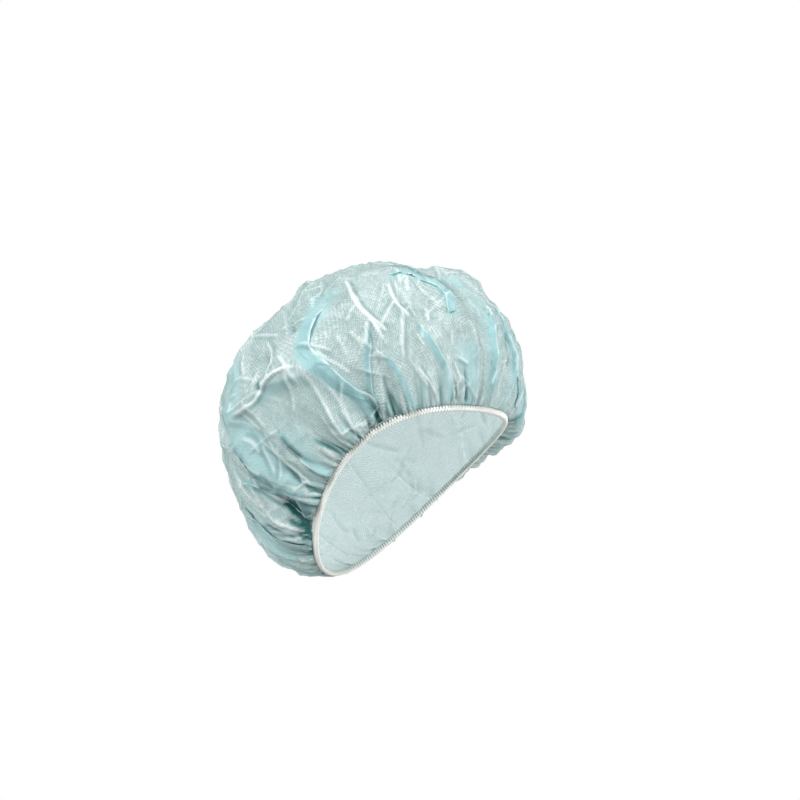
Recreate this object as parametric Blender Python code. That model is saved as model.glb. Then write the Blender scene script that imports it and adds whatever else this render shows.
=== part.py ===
"""Disposable hairnet (bouffant cap): one gathered disc of non-woven cloth on an elastic edge.

Metres, +Z up. The wearer's forehead is towards -Y and the wearer's left towards +X.
The origin is the centre of the elastic edge, where the head goes in. The cap is shown as
worn: the edge climbs from the nape to the forehead, and the crown puffs out above it.

A place on the crown is given by two numbers: its turn round the head (0 at the forehead,
90 degrees at the wearer's right ear, 180 at the nape) and its climb, from 0 at the elastic
to 1 at the pole of the crown.
"""
import bpy
import numpy as np

# Elastic edge: an oval loop that climbs towards the forehead
EDGE_HALF_LENGTH = 0.0805        # forehead to centre, seen from above
EDGE_HALF_WIDTH = 0.0737         # ear to centre
EDGE_BOXINESS = -0.0016          # third harmonic of the half width
EDGE_CLIMB = 0.060               # forehead above the centre, nape below it
EDGE_SADDLE = -0.014             # forehead and nape dip, the sides over the ears rise
ELASTIC_HEIGHT = 0.0045
ELASTIC_THICKNESS = 0.0015

# Crown: puffs out past the edge, then closes to a pole
CLOTH = 0.001                    # wall of the crown
GAP = 0.0003                     # between the crown and the elastic
POLE_HEIGHT = 0.165              # pole above the centre, along the crown's axis
PUFF_DEPTH = 0.086               # height scale of the cloth below its widest line
POLE_SHIFT = -0.003              # of the pole towards the nape
ROUNDNESS = 0.80                 # under 1 makes the shoulders fuller than an ellipse
PUFF = 0.0485                    # how far the widest line stands out past the edge
PUFF_FRONT = 0.009               # more at the forehead, less at the nape
PUFF_ENDS = -0.0055              # less at both ends than at the sides
PUFF_RIGHT = 0.0045
PUFF_TWIST = 0.004

# Local swellings: turn and climb of the middle, reach in both, then push outwards and up
SWELLINGS = (
    (-56, 0.06, 26, 0.08, 0.006, -0.012),     # slack cloth that hangs at the left temple
    (-32, 0.25, 22, 0.08, -0.005, 0.000),
    (1, 0.50, 14, 0.08, 0.006, 0.003),        # blunt corner above the forehead
    (17, 0.58, 10, 0.08, -0.003, -0.002),
)

# Main folds. Each has a height and a half width in metres, and a path of (turn, climb).
RIDGE, LAP = "ridge", "lap"
FOLDS = (
    # a lap of cloth from over the ear, which bends up towards the top
    (LAP, 0.0055, 0.006, ((70, 0.03), (75, 0.16), (79, 0.24), (81, 0.31), (78, 0.37), (67, 0.51), (62, 0.58))),
    (RIDGE, 0.0060, 0.008, ((60, 0.02), (59, 0.12), (58, 0.21), (60, 0.31), (60, 0.50))),
    (RIDGE, 0.0055, 0.007, ((68, 0.05), (66, 0.15), (63, 0.24), (60, 0.31))),
    (RIDGE, 0.0040, 0.008, ((57, 0.03), (57, 0.10), (53, 0.18), (50, 0.30), (50, 0.44))),
    (RIDGE, 0.0040, 0.008, ((33, 0.05), (38, 0.17), (41, 0.23), (48, 0.30))),
    # the long ridge that closes the side off from the front
    (RIDGE, 0.0070, 0.010, ((50, 0.44), (42, 0.47), (34, 0.43), (27, 0.29), (23, 0.17), (21, 0.04))),
    (RIDGE, 0.0045, 0.009, ((10, 0.04), (9, 0.16), (8, 0.28), (11, 0.40))),
    (RIDGE, 0.0045, 0.009, ((-4, 0.04), (-6, 0.18), (-7, 0.32), (-2, 0.46))),
    (RIDGE, 0.0045, 0.009, ((-20, 0.04), (-22, 0.14), (-26, 0.28))),
    # over and behind the ear
    (RIDGE, 0.0040, 0.008, ((88, 0.02), (84, 0.16), (83, 0.30))),
    (RIDGE, 0.0070, 0.010, ((83, 0.30), (90, 0.36), (101, 0.37), (108, 0.40), (111, 0.48))),
    (LAP, 0.0045, 0.006, ((97, 0.03), (96, 0.13), (95, 0.27))),
    (RIDGE, 0.0045, 0.008, ((106, 0.02), (104, 0.10), (103, 0.20), (100, 0.32))),
    (RIDGE, 0.0060, 0.009, ((122, 0.02), (119, 0.08), (117, 0.17), (115, 0.28), (109, 0.45))),
    (LAP, 0.0045, 0.006, ((134, 0.03), (131, 0.07), (127, 0.13), (123, 0.21), (123, 0.29))),
    (RIDGE, 0.0045, 0.008, ((143, 0.02), (141, 0.08), (138, 0.15), (133, 0.22), (128, 0.32))),
    # hollows between them
    (RIDGE, -0.0075, 0.009, ((92, 0.49), (94, 0.43), (91, 0.39))),
    (RIDGE, -0.0055, 0.010, ((77, 0.04), (84, 0.22), (93, 0.29))),
    (RIDGE, -0.0055, 0.010, ((64, 0.03), (62, 0.16))),
    (RIDGE, -0.0055, 0.010, ((128, 0.03), (122, 0.14), (119, 0.26))),
    (RIDGE, -0.0045, 0.012, ((36, 0.40), (26, 0.52), (12, 0.50))),
    # over the hidden top and back
    (RIDGE, 0.0045, 0.011, ((-38, 0.28), (-58, 0.46), (-84, 0.64))),
    (RIDGE, 0.0045, 0.011, ((-112, 0.32), (-102, 0.54), (-66, 0.74))),
    (RIDGE, 0.0045, 0.011, ((-165, 0.30), (-148, 0.52), (-122, 0.70))),
    (RIDGE, 0.0045, 0.011, ((-140, 0.42), (-172, 0.56), (-198, 0.72))),
    (RIDGE, 0.0040, 0.011, ((132, 0.34), (120, 0.52), (92, 0.66))),
    (RIDGE, 0.0040, 0.011, ((88, 0.56), (66, 0.66), (30, 0.70))),
)
# Broad crumples all over: direction across the creases, spacing, height and offset
CRUMPLES = (
    ((0.80, 0.35, 0.49), 0.083, 0.0028, 0.4),
    ((-0.42, 0.86, 0.29), 0.071, 0.0026, 1.9),
    ((0.21, -0.55, 0.81), 0.064, 0.0022, 3.1),
)
CRUMPLE_BEND = 0.9               # how far the creases wander, in radians of their own wave
# The hidden left and back: long ridges from the edge, spread evenly
BACK_RIDGE_TURNS = (152, 167, 182, 198, 213, 228, 243, 259, 274, 289, 303, 316)
BACK_RIDGE_LEAN = 7              # degrees that every other one leans, to and fro
BACK_RIDGE = (0.0055, 0.009)     # height and half width
GATHERS = 27                     # small pleats round the edge
GATHER_HEIGHT = 0.0055
CHART_RADIUS = 0.115             # of a flat chart of the crown, on which folds are measured
CHART_RISE = 0.290               # edge to pole on that chart

# Cut of the mesh: rows of points round the crown, each (number of points, climbs)
CROWN_ROWS = (
    (108, (0.015, 0.04, 0.07, 0.10, 0.135, 0.17, 0.21, 0.25, 0.29, 0.33, 0.37, 0.415, 0.46, 0.51, 0.56)),
    (54, (0.62, 0.68, 0.74, 0.80)),
    (27, (0.86, 0.93)),
)
BAND_SEGMENTS = 64
BAND_SIDES = 8

EDGE_TILT = np.arctan2(EDGE_CLIMB, EDGE_HALF_LENGTH)
AXIS = np.array((0.0, np.sin(EDGE_TILT), np.cos(EDGE_TILT)))          # up through the crown
FORWARD = np.array((0.0, -np.cos(EDGE_TILT), np.sin(EDGE_TILT)))      # in the edge's plane
RIGHT = np.array((-1.0, 0.0, 0.0))                                    # the wearer's right


def edge_line(turn):
    """Middle of the elastic."""
    x = -(EDGE_HALF_WIDTH * np.sin(turn) + EDGE_BOXINESS * np.sin(3 * turn))
    y = -EDGE_HALF_LENGTH * np.cos(turn)
    z = EDGE_CLIMB * np.cos(turn) + EDGE_SADDLE * np.cos(2 * turn)
    return np.stack((x, y, z), axis=-1)


def outward(turn):
    """Unit vector in the edge's plane, away from the centre."""
    point = edge_line(turn)
    flat = point - (point @ AXIS)[..., None] * AXIS
    return flat / np.linalg.norm(flat, axis=-1)[..., None]


def puffed_form(turn, climb):
    """The smooth crown, without folds."""
    start = edge_line(turn)
    level = start @ AXIS
    radius = np.linalg.norm(start - level[..., None] * AXIS, axis=-1)
    puff = (PUFF + PUFF_FRONT * np.cos(turn) + PUFF_ENDS * np.cos(2 * turn)
            + PUFF_RIGHT * np.sin(turn) + PUFF_TWIST * np.sin(2 * turn))
    widest = radius + puff
    first = -np.arccos(radius / widest)
    angle = first + (np.pi / 2 - first) * climb
    above = angle > 0
    reach = widest * np.where(above, np.abs(np.cos(angle)) ** ROUNDNESS, np.cos(angle))
    waist = level - PUFF_DEPTH * np.sin(first)
    height = waist + np.sin(angle) * np.where(above, POLE_HEIGHT - waist, PUFF_DEPTH)
    shift = POLE_SHIFT * np.clip(np.sin(angle), 0, 1) ** 2
    return reach[..., None] * outward(turn) + shift[..., None] * FORWARD + height[..., None] * AXIS


def swollen_form(turn, climb):
    """The smooth crown with its local swellings and slack."""
    place = puffed_form(turn, climb)
    away = np.cos(turn)[..., None] * FORWARD + np.sin(turn)[..., None] * RIGHT
    near_edge = np.clip(climb / 0.04, 0, 1)
    for middle, level, reach, rise, push, lift in SWELLINGS:
        off = (np.degrees(turn) - middle + 180) % 360 - 180
        share = near_edge * np.exp(-(off / reach) ** 2 - ((climb - level) / rise) ** 2)
        place = place + share[..., None] * (push * away + lift * AXIS)
    return place


def path_distance(spots, path):
    """Distance on the chart from each spot to a path, and how far along the path it is, 0 to 1."""
    nodes = np.array([(np.radians(turn) * CHART_RADIUS, climb * CHART_RISE) for turn, climb in path])
    lengths = np.linalg.norm(np.diff(nodes, axis=0), axis=1)
    begun = np.concatenate(((0.0,), np.cumsum(lengths)))
    best = np.full(spots.shape[:-1], np.inf)
    along = np.zeros_like(best)
    for index, length in enumerate(lengths):
        step = (nodes[index + 1] - nodes[index]) / length
        run = np.clip((spots - nodes[index]) @ step, 0, length)
        gap = np.linalg.norm(spots - nodes[index] - run[..., None] * step, axis=-1)
        closer = gap < best
        best = np.where(closer, gap, best)
        along = np.where(closer, (begun[index] + run) / begun[-1], along)
    return best, along


def fold_height(turn, climb):
    """How far the folds lift the cloth off the smooth crown."""
    angle = (turn + np.pi * 1.15) % (2 * np.pi) - np.pi * 1.15
    spots = np.stack((angle * CHART_RADIUS, climb * CHART_RISE), axis=-1)
    height = np.zeros_like(climb)
    for kind, rise, width, path in FOLDS:
        gap, along = path_distance(spots, path)
        profile = np.exp(-(gap / width) ** 2) if kind == RIDGE else 1 / (1 + (gap / width) ** 6)
        height = height + rise * profile * (0.35 + 0.65 * np.sin(np.pi * along))
    rise, width = BACK_RIDGE
    for index, start in enumerate(BACK_RIDGE_TURNS):
        lean = BACK_RIDGE_LEAN * (-1) ** index
        top = 0.36 + 0.08 * (index % 3)
        middle = start if start < 180 else start - 360
        for whole_turn in (0, 360):
            path = ((middle - whole_turn, 0.03), (middle - whole_turn + lean, top))
            gap, along = path_distance(spots, path)
            height = height + rise * np.exp(-(gap / width) ** 2) * (1 - 0.7 * along)
    pleat = 0.5 - np.abs(np.sin(turn * GATHERS / 2))
    return height + GATHER_HEIGHT * pleat * np.clip(climb / 0.05, 0, 1) * np.exp(-climb / 0.09)


def crumple_height(place, climb):
    """Broad creases that cross each other, fading out at the edge."""
    height = np.zeros_like(climb)
    for across, spacing, rise, offset in CRUMPLES:
        along = np.roll(across, 1)
        wave = np.pi * (place @ np.array(across)) / spacing + offset
        wave = wave + CRUMPLE_BEND * np.sin(np.pi * (place @ along) / spacing)
        height = height + rise * (0.6 - np.abs(np.sin(wave)))
    return height * np.clip((climb - 0.08) / 0.25, 0, 1)


def crown_point(turn, climb):
    """Outer face of the crown."""
    step = 1e-3
    place = swollen_form(turn, climb)
    round_way = swollen_form(turn + step, climb) - place
    up_way = swollen_form(turn, climb + step) - place
    normal = np.cross(up_way, round_way)
    normal = normal / np.linalg.norm(normal, axis=-1)[..., None]
    clear = (ELASTIC_THICKNESS / 2 + GAP + CLOTH) * np.clip(1 - climb / 0.12, 0, 1)
    lift = fold_height(turn, climb) + crumple_height(place, climb)
    return place + clear[..., None] * outward(turn) + lift[..., None] * normal


def sewn_strip(turn):
    """Two rows of the crown that lie on the upper half of the elastic, below the gathers."""
    beside = edge_line(turn) + (ELASTIC_THICKNESS / 2 + GAP + CLOTH) * outward(turn)
    return beside, beside + ELASTIC_HEIGHT / 2 * AXIS


def bridge(low, high, faces):
    """Faces between two rows of point numbers, where the upper has as many or half as many."""
    count = len(low)
    if len(high) == count:
        for i in range(count):
            j = (i + 1) % count
            faces.append((low[i], high[i], high[j], low[j]))
        return
    for i in range(len(high)):
        a, b, c = low[2 * i], low[2 * i + 1], low[(2 * i + 2) % count]
        d, e = high[i], high[(i + 1) % len(high)]
        faces.extend(((a, d, b), (b, d, e), (b, e, c)))


def make_object(name, points, faces, material):
    mesh = bpy.data.meshes.new(name)
    mesh.from_pydata([tuple(point) for point in points], [], faces)
    mesh.materials.append(material)
    mesh.shade_smooth()
    obj = bpy.data.objects.new(name, mesh)
    bpy.context.collection.objects.link(obj)
    return obj


def make_material(name, colour, roughness, alpha=1.0):
    material = bpy.data.materials.new(name)
    material.use_nodes = True
    shader = material.node_tree.nodes["Principled BSDF"]
    shader.inputs["Base Color"].default_value = (*colour, 1.0)
    shader.inputs["Roughness"].default_value = roughness
    shader.inputs["Metallic"].default_value = 0.0
    shader.inputs["Alpha"].default_value = alpha
    return material


def make_crown():
    """A gathered disc of cloth: an open sheet that Solidify gives its wall."""
    first_turns = np.linspace(0, 2 * np.pi, CROWN_ROWS[0][0], endpoint=False)
    rows = list(sewn_strip(first_turns))
    for count, climbs in CROWN_ROWS:
        turns = np.linspace(0, 2 * np.pi, count, endpoint=False)
        rows.extend(crown_point(turns, np.full(count, climb)) for climb in climbs)
    rows.append(crown_point(np.zeros(1), np.ones(1) * 0.9995))
    points = np.concatenate(rows)
    starts = np.cumsum([0] + [len(row) for row in rows])
    numbers = [list(range(begin, end)) for begin, end in zip(starts[:-1], starts[1:])]
    faces = []
    for low, high in zip(numbers[:-2], numbers[1:-1]):
        bridge(low, high, faces)
    last_row, pole = numbers[-2], numbers[-1][0]
    for i, corner in enumerate(last_row):
        faces.append((corner, pole, last_row[(i + 1) % len(last_row)]))
    cloth = make_material("aqua_nonwoven", (0.50, 0.68, 0.69), 0.75)
    crown = make_object("crown", points, faces, cloth)
    wall = crown.modifiers.new("wall", "SOLIDIFY")
    wall.thickness = CLOTH
    wall.offset = -1.0
    wall.use_even_offset = True
    wall.thickness_clamp = 1.0
    return crown


def make_elastic_band():
    """A narrow flat elastic, its section an oval swept round the edge."""
    turns = np.linspace(0, 2 * np.pi, BAND_SEGMENTS, endpoint=False)
    middle, away = edge_line(turns), outward(turns)
    rows = []
    for side in range(BAND_SIDES):
        angle = 2 * np.pi * (side + 0.5) / BAND_SIDES
        across = np.sign(np.cos(angle)) * abs(np.cos(angle)) ** 0.6 * ELASTIC_THICKNESS / 2
        along = np.sin(angle) * ELASTIC_HEIGHT / 2
        rows.append(middle + across * away + along * AXIS)
    points = np.concatenate(rows)
    faces = []
    for side in range(BAND_SIDES):
        low = [side * BAND_SEGMENTS + i for i in range(BAND_SEGMENTS)]
        high = [(side + 1) % BAND_SIDES * BAND_SEGMENTS + i for i in range(BAND_SEGMENTS)]
        bridge(low, high, faces)
    elastic = make_material("cream_elastic", (0.62, 0.62, 0.56), 0.85)
    return make_object("elastic_band", points, faces, elastic)


def main():
    for old in list(bpy.data.objects):
        bpy.data.objects.remove(old, do_unlink=True)
    cap = bpy.data.objects.new("hairnet", None)
    bpy.context.collection.objects.link(cap)
    make_crown().parent = cap
    make_elastic_band().parent = cap


main()
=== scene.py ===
"""Looks of the disposable hairnet: see-through pleated crown, elastic edge and its stitches.

Metres, in the CAD's frame: forehead towards -Y, wearer's left towards +X, +Z up.
A place on the crown is its turn round the head (0 at the forehead, 90 degrees at the
wearer's right ear, 180 at the nape) and its climb, 0 at the elastic to 1 at the pole.
The smooth form and the broad folds are the CAD's own; sharp creases, overlapping laps,
gathers and fine crumples are added to them here.
"""

import bpy
import numpy as np
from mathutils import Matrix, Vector, kdtree


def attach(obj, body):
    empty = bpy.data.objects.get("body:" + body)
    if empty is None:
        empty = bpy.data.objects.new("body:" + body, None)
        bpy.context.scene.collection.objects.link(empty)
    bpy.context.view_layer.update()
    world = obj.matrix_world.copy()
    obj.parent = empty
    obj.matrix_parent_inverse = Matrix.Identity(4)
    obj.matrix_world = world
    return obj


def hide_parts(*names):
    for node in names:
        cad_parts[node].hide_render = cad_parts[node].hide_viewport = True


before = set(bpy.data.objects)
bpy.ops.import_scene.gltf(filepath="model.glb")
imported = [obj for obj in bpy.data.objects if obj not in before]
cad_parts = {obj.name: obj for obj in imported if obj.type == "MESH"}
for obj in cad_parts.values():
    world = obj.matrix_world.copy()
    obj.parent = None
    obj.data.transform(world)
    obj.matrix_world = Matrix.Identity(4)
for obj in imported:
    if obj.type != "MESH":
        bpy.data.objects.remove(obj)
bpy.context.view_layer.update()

# --- the CAD's form, repeated ---------------------------------------------------------
EDGE_HALF_LENGTH = 0.0805
EDGE_HALF_WIDTH = 0.0737
EDGE_BOXINESS = -0.0016
EDGE_CLIMB = 0.060
EDGE_SADDLE = -0.014
ELASTIC_HEIGHT = 0.0045
ELASTIC_THICKNESS = 0.0015
CLOTH = 0.001
GAP = 0.0003
POLE_HEIGHT = 0.165
PUFF_DEPTH = 0.086
POLE_SHIFT = -0.003
ROUNDNESS = 0.80
PUFF = 0.0485
PUFF_FRONT = 0.009
PUFF_ENDS = -0.0055
PUFF_RIGHT = 0.0045
PUFF_TWIST = 0.004
SWELLINGS = (
    (-56, 0.06, 26, 0.08, 0.006, -0.012),
    (-32, 0.25, 22, 0.08, -0.005, 0.000),
    (1, 0.50, 14, 0.08, 0.006, 0.003),
    (17, 0.58, 10, 0.08, -0.003, -0.002),
)
# Trims: the same, for where the added folds would swell the outline
TRIMS = (
    (70, 0.71, 11, 0.06, -0.0065, -0.002),
    (-28, 0.31, 14, 0.09, -0.0070, 0.0),
    (-48, 0.09, 14, 0.08, -0.0055, 0.0),
    (148, 0.24, 12, 0.08, -0.0030, 0.0),
)
# Broad folds: height, half width, path of (turn, climb)
BROAD_FOLDS = (
    (0.0060, 0.008, ((60, 0.02), (59, 0.12), (58, 0.21), (60, 0.31), (60, 0.50))),
    (0.0055, 0.007, ((68, 0.05), (66, 0.15), (63, 0.24), (60, 0.31))),
    (0.0040, 0.008, ((57, 0.03), (57, 0.10), (53, 0.18), (50, 0.30), (50, 0.44))),
    (0.0040, 0.008, ((33, 0.05), (38, 0.17), (41, 0.23), (48, 0.30))),
    (0.0070, 0.010, ((50, 0.44), (42, 0.47), (34, 0.43), (27, 0.29), (23, 0.17), (21, 0.04))),
    (0.0045, 0.009, ((10, 0.04), (9, 0.16), (8, 0.28), (11, 0.40))),
    (0.0045, 0.009, ((-4, 0.04), (-6, 0.18), (-7, 0.32), (-2, 0.46))),
    (0.0045, 0.009, ((-20, 0.04), (-22, 0.14), (-26, 0.28))),
    (0.0040, 0.008, ((88, 0.02), (84, 0.16), (83, 0.30))),
    (0.0070, 0.010, ((83, 0.30), (90, 0.36), (101, 0.37), (108, 0.40), (111, 0.48))),
    (0.0045, 0.008, ((106, 0.02), (104, 0.10), (103, 0.20), (100, 0.32))),
    (0.0060, 0.009, ((122, 0.02), (119, 0.08), (117, 0.17), (115, 0.28), (109, 0.45))),
    (0.0045, 0.008, ((143, 0.02), (141, 0.08), (138, 0.15), (133, 0.22), (128, 0.32))),
    (-0.0075, 0.009, ((92, 0.49), (94, 0.43), (91, 0.39))),
    (-0.0055, 0.010, ((77, 0.04), (84, 0.22), (93, 0.29))),
    (-0.0055, 0.010, ((64, 0.03), (62, 0.16))),
    (-0.0055, 0.010, ((128, 0.03), (122, 0.14), (119, 0.26))),
    (-0.0045, 0.012, ((36, 0.40), (26, 0.52), (12, 0.50))),
    (0.0045, 0.011, ((-38, 0.28), (-58, 0.46), (-84, 0.64))),
    (0.0045, 0.011, ((-112, 0.32), (-102, 0.54), (-66, 0.74))),
    (0.0045, 0.011, ((-165, 0.30), (-148, 0.52), (-122, 0.70))),
    (0.0045, 0.011, ((-140, 0.42), (-172, 0.56), (-198, 0.72))),
    (0.0040, 0.011, ((132, 0.34), (120, 0.52), (92, 0.66))),
    (0.0040, 0.011, ((88, 0.56), (66, 0.66), (30, 0.70))),
)
CRUMPLES = (
    ((0.80, 0.35, 0.49), 0.083, 0.0028, 0.4),
    ((-0.42, 0.86, 0.29), 0.071, 0.0026, 1.9),
    ((0.21, -0.55, 0.81), 0.064, 0.0022, 3.1),
)
CRUMPLE_BEND = 0.9
# Smaller ones, which the thin wall of the CAD leaves out
FINE_CRUMPLES = (
    ((0.61, -0.62, 0.49), 0.037, 0.0011, 0.7),
    ((-0.71, -0.28, 0.64), 0.029, 0.0008, 2.3),
    ((0.12, 0.83, -0.54), 0.023, 0.0006, 4.4),
)
BACK_RIDGE_TURNS = (152, 167, 182, 198, 213, 228, 243, 259, 274, 289, 303, 316)
BACK_RIDGE_LEAN = 7
BACK_RIDGE = (0.0055, 0.009)
CHART_RADIUS = 0.115
CHART_RISE = 0.290

# --- what is added to it --------------------------------------------------------------
# Laps: cloth folded back over itself. Width of the lapped band, rise of its top layer,
# which side lies on top (+1 towards the nape), and the path of (turn, climb).
LAPS = (
    (0.0105, 0.0030, 1, ((72, 0.02), (75, 0.12), (77.5, 0.19), (79, 0.28), (79.7, 0.34), (76, 0.40),
                         (70, 0.44), (63, 0.47))),
    (0.0040, 0.0022, 1, ((70.5, 0.06), (69.6, 0.11), (67.5, 0.155), (65.5, 0.20), (63, 0.24), (60.8, 0.30))),
    (0.0045, 0.0022, -1, ((55, 0.01), (55.8, 0.05), (56.6, 0.095), (58.2, 0.145), (59.6, 0.20))),
    (0.0034, 0.0020, 1, ((95, 0.01), (94.5, 0.04), (95.5, 0.08), (96, 0.13))),
    (0.0042, 0.0022, -1, ((106, 0.01), (105, 0.06), (104, 0.10), (102.5, 0.15), (101, 0.19), (99.5, 0.23))),
    (0.0058, 0.0028, -1, ((127, 0.02), (122, 0.06), (119, 0.10), (117.5, 0.17), (116, 0.26), (114, 0.38))),
    (0.0052, 0.0024, 1, ((131, 0.02), (128.5, 0.07), (126, 0.11), (124.6, 0.16), (123.5, 0.22), (125, 0.30))),
    (0.0045, 0.0022, 1, ((144, 0.03), (143, 0.08), (141.5, 0.14), (139, 0.20), (134, 0.32))),
    (0.0055, 0.0022, 1, ((34, 0.02), (36.5, 0.085), (40, 0.15), (42.5, 0.20), (45.5, 0.265))),
    (0.0055, 0.0024, -1, ((31, 0.28), (31, 0.36), (34.5, 0.425), (40, 0.46), (47, 0.455))),
    (0.0060, 0.0024, 1, ((-9, 0.04), (-6, 0.12), (-3, 0.20), (1, 0.28), (7, 0.36))),
    (0.0060, 0.0024, 1, ((9, 0.03), (11, 0.12), (12, 0.22), (12, 0.32))),
    (0.0055, 0.0024, -1, ((-22, 0.04), (-16, 0.12), (-12, 0.22), (-10, 0.32))),
    (0.0060, 0.0024, 1, ((-40, 0.03), (-38, 0.12), (-34, 0.22), (-26, 0.34))),
)
LAP_PULL = 0.66                  # over 1 / pi, the cloth folds over itself
LAP_SHARE = 0.215                # the lapped band, as a share of the cloth that it draws in
LAP_ROOT = 0.018                 # the climb by which a lap has left the edge
LAP_TURN = 0.26                  # where in that cloth its top layer turns under
# Creases: pinched lines. Height, strength of the painted highlight line along the crease, and the path of
# (turn, climb).
CREASES = (
    (0.0022, 1.0, ((56.5, 0.57), (59, 0.46), (60, 0.40), (60, 0.355), (59, 0.31), (58.4, 0.25), (57, 0.20))),
    (0.0016, 0.8, ((59, 0.315), (57.2, 0.28), (56, 0.25))),
    (0.0018, 0.9, ((60.2, 0.31), (62.2, 0.27), (64.4, 0.235))),
    (0.0014, 0.7, ((62.2, 0.165), (64.3, 0.12), (65.6, 0.085), (67.6, 0.055), (68.5, 0.02))),
    (0.0012, 0.6, ((65.3, 0.205), (62.5, 0.21), (60, 0.20))),
    (0.0018, 0.9, ((47, 0.445), (48.2, 0.395), (48.8, 0.335), (47.5, 0.30), (45.9, 0.27))),
    (0.0016, 0.8, ((49.3, 0.31), (51.2, 0.245), (53.2, 0.195), (54.4, 0.15))),
    (0.0012, 0.6, ((50.4, 0.27), (52.8, 0.225), (53.8, 0.19))),
    (0.0016, 0.8, ((50, 0.14), (47.5, 0.105), (44.7, 0.075), (42.5, 0.03))),
    (0.0012, 0.6, ((45, 0.10), (43, 0.075), (41, 0.05))),
    (0.0012, 0.6, ((30, 0.33), (24, 0.325), (16, 0.31))),
    (0.0012, 0.6, ((34, 0.10), (32, 0.07), (30.5, 0.03))),
    (0.0014, 0.7, ((14, 0.42), (8, 0.36), (4, 0.31), (1, 0.26))),
    (0.0014, 0.6, ((14, 0.02), (15.5, 0.06), (16, 0.12), (17, 0.20))),
    (0.0014, 0.6, ((3, 0.02), (3.5, 0.10), (1, 0.20))),
    (0.0012, 0.5, ((22, 0.03), (22, 0.12), (24, 0.22), (28, 0.30))),
    (0.0016, 0.8, ((88, 0.01), (87.5, 0.06), (85.5, 0.13), (84, 0.20), (82.6, 0.30))),
    (0.0014, 0.7, ((83, 0.04), (81.5, 0.10), (80.5, 0.16), (81, 0.22))),
    (0.0014, 0.7, ((91, 0.02), (89, 0.10), (87.5, 0.16))),
    (0.0014, 0.7, ((77, 0.33), (76, 0.27), (73.5, 0.22), (72, 0.17))),
    (0.0022, 1.0, ((82.5, 0.29), (86, 0.33), (92, 0.35), (98, 0.34), (103, 0.36), (108, 0.40))),
    (0.0018, 0.8, ((88, 0.52), (88.5, 0.44), (90, 0.38), (92.5, 0.33))),
    (0.0014, 0.7, ((104, 0.37), (104.5, 0.31), (103.5, 0.26))),
    (0.0014, 0.7, ((99, 0.46), (98, 0.52), (96, 0.58))),
    (0.0016, 0.8, ((108.5, 0.47), (112, 0.44), (113, 0.39))),
    (0.0018, 0.9, ((105.5, 0.235), (107, 0.18), (108.5, 0.13), (110.5, 0.085), (113.5, 0.03))),
    (0.0014, 0.7, ((110, 0.33), (109, 0.28), (110.5, 0.23))),
    (0.0014, 0.7, ((121, 0.40), (116.5, 0.35), (112, 0.33))),
    (0.0016, 0.8, ((123, 0.37), (125, 0.32), (128.5, 0.22), (129.5, 0.19), (132.5, 0.145), (136, 0.07))),
    (0.0012, 0.6, ((130, 0.33), (131.5, 0.27), (134, 0.20), (137.5, 0.14), (139.5, 0.06))),
    (0.0014, 0.7, ((138, 0.33), (143, 0.25), (147, 0.16), (149, 0.05))),
    (0.0016, 0.9, ((131.5, 0.15), (135, 0.08), (138, 0.02))),
    (0.0016, 0.9, ((121, 0.30), (122.5, 0.27), (122.5, 0.195), (124.3, 0.145), (126.5, 0.085))),
    (0.0014, 0.8, ((124, 0.25), (127, 0.21), (130, 0.17))),
    (0.0014, 0.8, ((140.5, 0.16), (140.3, 0.08), (140, 0.02))),
    (0.0014, 0.7, ((62, 0.60), (66, 0.54), (70, 0.50), (72, 0.45))),
    (0.0012, 0.6, ((72, 0.56), (75, 0.51), (76, 0.46))),
    (0.0012, 0.6, ((78, 0.58), (80, 0.52), (81, 0.46), (83, 0.40))),
)
CREASE_WIDTH = 0.0022
LINE_WIDTH = 0.0017
CREASE_SHADE = 0.40
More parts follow.
